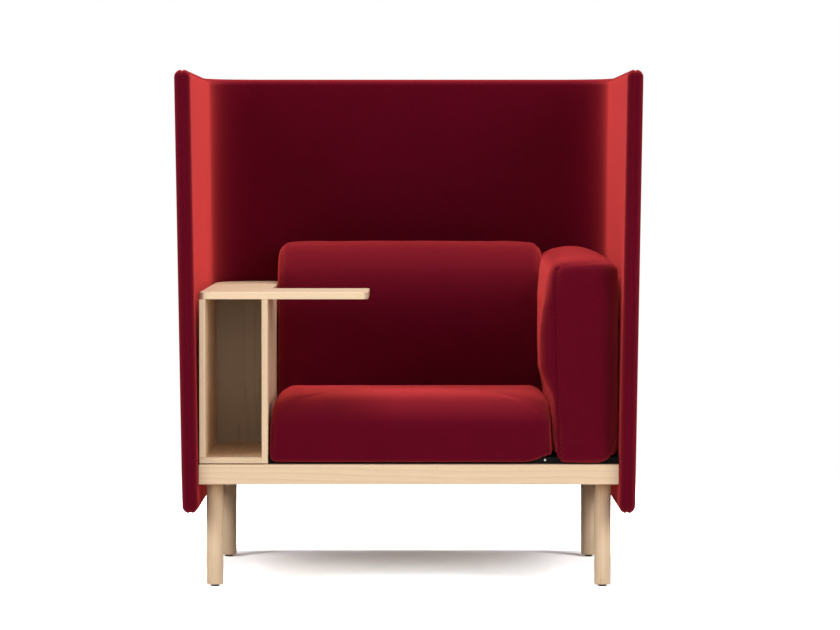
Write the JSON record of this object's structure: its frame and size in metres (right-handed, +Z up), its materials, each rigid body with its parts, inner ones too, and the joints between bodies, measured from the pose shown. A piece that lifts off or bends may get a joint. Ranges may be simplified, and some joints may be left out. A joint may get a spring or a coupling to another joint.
{
  "type": "acoustic lounge chair",
  "caption": "Lounge chair with a high padded U-shaped screen, wooden legs and frame, open side shelf with an L-shaped table, seat, back and arm cushions.",
  "frame": {"origin": "on the floor, under the middle of the overall box", "axes": "+Z up, the open front faces -Y, +X to the right as seen from the front (the arm cushion's side)"},
  "size_m": [1.0554, 0.8002, 1.172],
  "materials": {
    "ash_solid": "clear matt lacquer on solid ash",
    "ash_veneer": "clear matt lacquer on ash veneered board",
    "beech_dowel": "bare fluted beech",
    "plywood": "formed plywood, hidden",
    "black_board": "matt black stained board",
    "black_fibre": "thin black fibre strip",
    "red_fabric_screen": "deep red wool weave stretched over padding",
    "red_fabric_cushion": "deep red wool weave over a soft filling",
    "foam": "cut foam, hidden",
    "zinc_steel": "zinc plated",
    "black_steel": "black powder coat",
    "black_nylon": "matt moulded nylon"
  },
  "bodies": {
    "chair": {"arm_cushion_cover": "red_fabric_cushion", "arm_cushion_foam": "foam", "back_cushion_cover": "red_fabric_cushion", "back_cushion_foam": "foam", "bracket_screws": "zinc_steel", "cross_beams": "ash_solid", "cushion_stud": "zinc_steel", "frame_dowels": "beech_dowel", "front_rail": "ash_solid", "glide_inserts": "zinc_steel", "left_side_rail": "ash_solid", "leg_bolts": "zinc_steel", "leg_front_left": "ash_solid", "leg_front_right": "ash_solid", "leg_rear_left": "ash_solid", "leg_rear_right": "ash_solid", "platform_screws": "zinc_steel", "rear_rail": "ash_solid", "right_side_rail": "ash_solid", "seat_cushion_cover": "red_fabric_cushion", "seat_cushion_foam": "foam", "seat_platform": "black_board", "shelf_back": "ash_veneer", "shelf_bottom": "ash_veneer", "shelf_dowels": "beech_dowel", "shelf_left_side": "ash_veneer", "shelf_right_side": "ash_veneer", "shelf_screws": "zinc_steel", "shelf_spacers": "black_fibre", "shell_bolts": "zinc_steel", "shell_brackets": "black_steel", "shell_core": "plywood", "shell_inner_upholstery": "red_fabric_screen", "shell_outer_upholstery": "red_fabric_screen", "table_top": "ash_veneer"},
    "glide_front_left_foot": {"glide_front_left": "black_nylon"},
    "glide_front_right_foot": {"glide_front_right": "black_nylon"},
    "glide_rear_left_foot": {"glide_rear_left": "black_nylon"},
    "glide_rear_right_foot": {"glide_rear_right": "black_nylon"}
  },
  "joints": [
    {"name": "glide_front_left_height", "type": "slide", "parent": "chair", "child": "glide_front_left_foot", "axis": [0, 0, -1], "range_m": [0, 0.01]},
    {"name": "glide_front_right_height", "type": "slide", "parent": "chair", "child": "glide_front_right_foot", "axis": [0, 0, -1], "range_m": [0, 0.01]},
    {"name": "glide_rear_left_height", "type": "slide", "parent": "chair", "child": "glide_rear_left_foot", "axis": [0, 0, -1], "range_m": [0, 0.01]},
    {"name": "glide_rear_right_height", "type": "slide", "parent": "chair", "child": "glide_rear_right_foot", "axis": [0, 0, -1], "range_m": [0, 0.01]}
  ]
}
